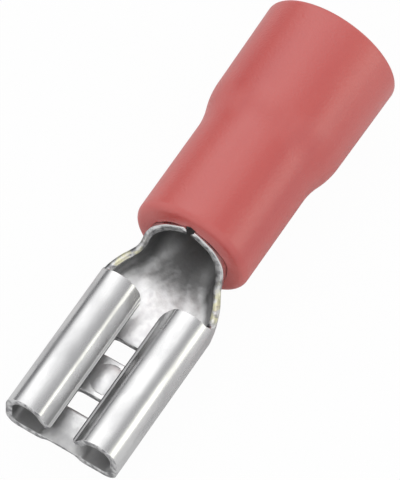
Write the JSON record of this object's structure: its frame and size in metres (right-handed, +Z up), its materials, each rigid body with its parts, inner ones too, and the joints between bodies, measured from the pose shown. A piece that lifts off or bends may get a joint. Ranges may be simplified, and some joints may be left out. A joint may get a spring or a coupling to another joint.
{
  "type": "female spade terminal",
  "caption": "Insulated female spade terminal: a folded tin-plated receptacle with rolled wings on a crimp barrel in a stepped red plastic sleeve.",
  "frame": {"origin": "underside of the two rolls, on the middle line, at the mouth that takes the tab", "axes": "+X from the tab's mouth to the wire entry, +Z up from the floor towards the lips of the rolls, +Y across"},
  "size_m": [0.0217, 0.0064, 0.0064],
  "materials": {
    "tinned_brass": "bright tin plating on brass",
    "red_vinyl": "satin soft vinyl"
  },
  "bodies": {
    "root": {"terminal": "tinned_brass", "insulating_sleeve": "red_vinyl"}
  },
  "joints": []
}
